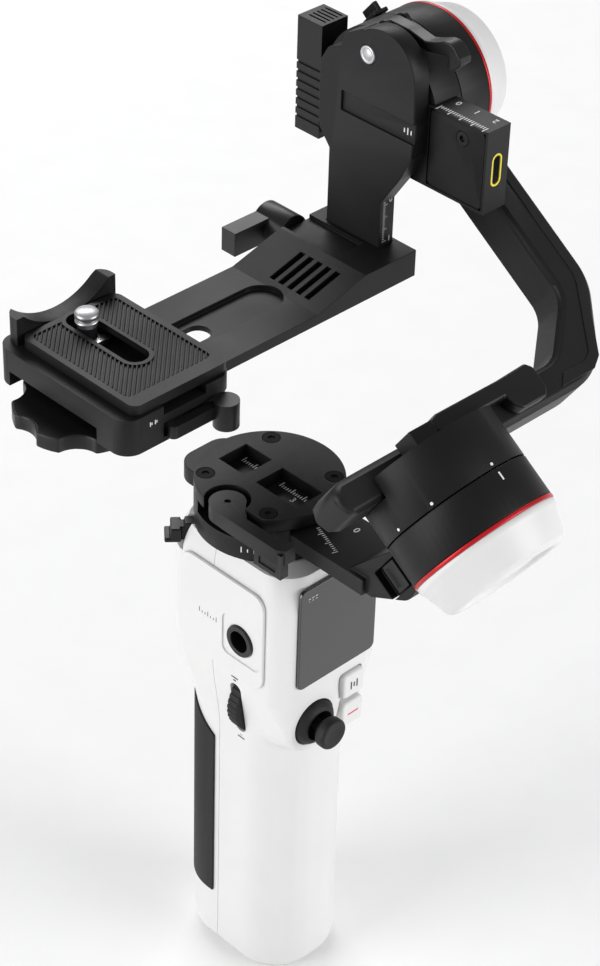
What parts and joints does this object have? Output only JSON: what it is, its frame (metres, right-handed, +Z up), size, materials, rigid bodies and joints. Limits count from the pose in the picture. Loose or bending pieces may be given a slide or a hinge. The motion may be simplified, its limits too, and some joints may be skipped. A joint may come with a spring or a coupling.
{
  "type": "camera gimbal",
  "caption": "Handheld three-axis camera stabiliser with a white battery grip, pan, roll and tilt motors, sliding arms and a quick-release camera stage.",
  "frame": {"origin": "mouth of the 1/4 inch tripod socket in the foot of the grip, on the pan axis", "axes": "+Z up the grip along the pan axis, +Y the way the lens looks, +X to the user's right"},
  "size_m": [0.1517, 0.1419, 0.2716],
  "materials": {
    "white_shell": "satin moulded plastic",
    "grey_plastic": "satin moulded plastic",
    "black_metal": "fine bead-blasted black anodising",
    "black_lever": "satin black coated metal",
    "black_port": "semi-gloss black",
    "red_anodised": "red anodised aluminium",
    "steel": "bright machined steel",
    "black_rubber": "matt textured rubber",
    "display_black": "gloss black touch glass",
    "circuit_board": "solder mask",
    "cell_wrap": "shrink wrap",
    "copper_winding": "enamelled copper",
    "gold_contact": "gold-coloured plating",
    "light_diffuser": "frosted diffuser"
  },
  "bodies": {
    "handle": {"handle_user_shell": "white_shell", "handle_trigger_shell": "white_shell", "tripod_socket": "steel", "grip_rubber": "black_rubber", "side_panel": "white_shell", "side_port_socket": "black_port", "display_glass": "display_black", "main_board": "circuit_board", "battery_cells": "cell_wrap", "joystick_boot": "black_rubber", "pan_motor_housing": "black_metal", "pan_motor_core": "copper_winding", "pan_bearing": "steel"},
    "stick_ring": {"joystick_ring": "steel"},
    "stick": {"joystick_cap": "black_rubber"},
    "mode_key": {"mode_button": "white_shell"},
    "record_key": {"record_button": "white_shell"},
    "wheel": {"control_wheel": "black_rubber"},
    "trigger": {"trigger": "grey_plastic"},
    "pan_lock": {"pan_lock_slider": "black_lever"},
    "pan_rotor": {"pan_rotor_bell": "steel", "pan_clamp_block": "black_metal", "pan_disc": "black_metal", "disc_screws": "black_lever"},
    "pan_lever": {"pan_clamp_lever": "black_lever"},
    "pan_arm": {"pan_arm_bar": "black_metal", "roll_motor_housing": "black_metal", "roll_motor_core": "copper_winding", "roll_bearing": "steel", "roll_red_ring": "red_anodised", "roll_motor_cap": "white_shell"},
    "roll_lock": {"roll_lock_slider": "black_lever"},
    "roll_rotor": {"roll_rotor_bell": "steel", "roll_clamp_block": "black_metal"},
    "roll_lever": {"roll_clamp_lever": "black_lever"},
    "roll_arm": {"roll_arm": "black_metal", "tilt_motor_housing": "black_metal", "tilt_motor_core": "copper_winding", "tilt_bearing": "steel", "tilt_red_ring": "red_anodised", "tilt_motor_cap": "white_shell"},
    "tilt_lock": {"tilt_lock_slider": "black_lever"},
    "tilt_rotor": {"tilt_rotor_bell": "steel", "tilt_clamp_block": "black_metal"},
    "tilt_lever": {"tilt_clamp_lever": "black_lever"},
    "camera_rail": {"tilt_rail": "black_metal", "rail_cover": "black_metal", "rail_screw": "black_lever", "control_port": "gold_contact", "fill_light_lens": "light_diffuser", "camera_plate": "black_metal", "plate_pin": "steel"},
    "base": {"base_plate": "black_metal"},
    "wing": {"wing_knob": "black_lever"},
    "quick_clamp": {"qr_clamp": "black_metal"},
    "clamp_knob": {"clamp_wheel": "black_lever"},
    "quick_lever": {"qr_lock_lever": "black_lever"},
    "quick_plate": {"qr_plate": "black_metal"},
    "screw_slide": {"screw_carriage": "steel"},
    "camera_bolt": {"camera_screw": "steel"}
  },
  "joints": [
    {"name": "stick_up_down", "type": "hinge", "parent": "handle", "child": "stick_ring", "pos_m": [-0.008, -0.0213, 0.1], "axis": [1, 0, 0], "range_deg": [-12, 12]},
    {"name": "stick_left_right", "type": "hinge", "parent": "stick_ring", "child": "stick", "pos_m": [-0.008, -0.0213, 0.1], "axis": [0, 0, 1], "range_deg": [-12, 12]},
    {"name": "mode_press", "type": "slide", "parent": "handle", "child": "mode_key", "axis": [0, 1, 0], "range_m": [0, 0.0008]},
    {"name": "record_press", "type": "slide", "parent": "handle", "child": "record_key", "axis": [0, 1, 0], "range_m": [0, 0.0008]},
    {"name": "wheel_turn", "type": "hinge", "parent": "handle", "child": "wheel", "pos_m": [-0.0096, -0.0075, 0.0978], "axis": [0, 1, 0], "continuous": true},
    {"name": "trigger_pull", "type": "hinge", "parent": "handle", "child": "trigger", "pos_m": [0, 0.0186, 0.1094], "axis": [1, 0, 0], "range_deg": [-5, 0]},
    {"name": "pan_lock_slide", "type": "slide", "parent": "handle", "child": "pan_lock", "axis": [0, 0, 1], "range_m": [0, 0.002]},
    {"name": "pan", "type": "hinge", "parent": "handle", "child": "pan_rotor", "pos_m": [0, 0, 0.1475], "axis": [0, 0, 1], "continuous": true},
    {"name": "pan_lever_swing", "type": "hinge", "parent": "pan_rotor", "child": "pan_lever", "pos_m": [-0.0156, -0.0003, 0.16], "axis": [0, 0, 1], "range_deg": [-60, 0]},
    {"name": "pan_arm_slide", "type": "slide", "parent": "pan_rotor", "child": "pan_arm", "axis": [0, 1, 0], "range_m": [-0.012, 0.01]},
    {"name": "roll_lock_slide", "type": "slide", "parent": "pan_arm", "child": "roll_lock", "axis": [0, -0.565, 0.8251], "range_m": [-0.003, 0]},
    {"name": "roll", "type": "hinge", "parent": "pan_arm", "child": "roll_rotor", "pos_m": [0, -0.0745, 0.1843], "axis": [0, 0.8251, 0.565], "range_deg": [-200, 45]},
    {"name": "roll_lever_swing", "type": "hinge", "parent": "roll_rotor", "child": "roll_lever", "pos_m": [0.004, -0.05363, 0.20586], "axis": [0, -0.565, 0.8251], "range_deg": [0, 60]},
    {"name": "roll_arm_slide", "type": "slide", "parent": "roll_rotor", "child": "roll_arm", "axis": [1, 0, 0], "range_m": [-0.01, 0.01]},
    {"name": "tilt_lock_slide", "type": "slide", "parent": "roll_arm", "child": "tilt_lock", "axis": [1, 0, 0], "range_m": [0, 0.002]},
    {"name": "tilt", "type": "hinge", "parent": "roll_arm", "child": "tilt_rotor", "pos_m": [0.065, 0.019, 0.2476], "axis": [1, 0, 0], "range_deg": [-150, 150]},
    {"name": "tilt_lever_swing", "type": "hinge", "parent": "tilt_rotor", "child": "tilt_lever", "pos_m": [0.06, 0.019, 0.2684], "axis": [1, 0, 0], "range_deg": [-60, 0]},
    {"name": "fore_aft_slide", "type": "slide", "parent": "tilt_rotor", "child": "camera_rail", "axis": [0, 1, 0], "range_m": [0, 0.02]},
    {"name": "height_slide", "type": "slide", "parent": "camera_rail", "child": "base", "axis": [0, 0, 1], "range_m": [0, 0.01]},
    {"name": "wing_turn", "type": "hinge", "parent": "base", "child": "wing", "pos_m": [0.043, 0.04, 0.2044], "axis": [0, 1, 0], "range_deg": [-90, 90]},
    {"name": "side_slide", "type": "slide", "parent": "base", "child": "quick_clamp", "axis": [1, 0, 0], "range_m": [0, 0.014]},
    {"name": "clamp_knob_turn", "type": "hinge", "parent": "quick_clamp", "child": "clamp_knob", "pos_m": [-0.0469, 0.0203, 0.192], "axis": [0, 0, 1], "continuous": true},
    {"name": "quick_lever_swing", "type": "hinge", "parent": "quick_clamp", "child": "quick_lever", "pos_m": [-0.042, -0.0087, 0.203], "axis": [0, 0, 1], "range_deg": [-75, 0]},
    {"name": "plate_slide", "type": "slide", "parent": "quick_clamp", "child": "quick_plate", "axis": [0, 1, 0], "range_m": [-0.02, 0]},
    {"name": "screw_travel", "type": "slide", "parent": "quick_plate", "child": "screw_slide", "axis": [0, 1, 0], "range_m": [-0.015, 0]},
    {"name": "screw_turn", "type": "hinge", "parent": "screw_slide", "child": "camera_bolt", "pos_m": [-0.03695, 0.0294, 0.212], "axis": [0, 0, 1], "continuous": true}
  ]
}
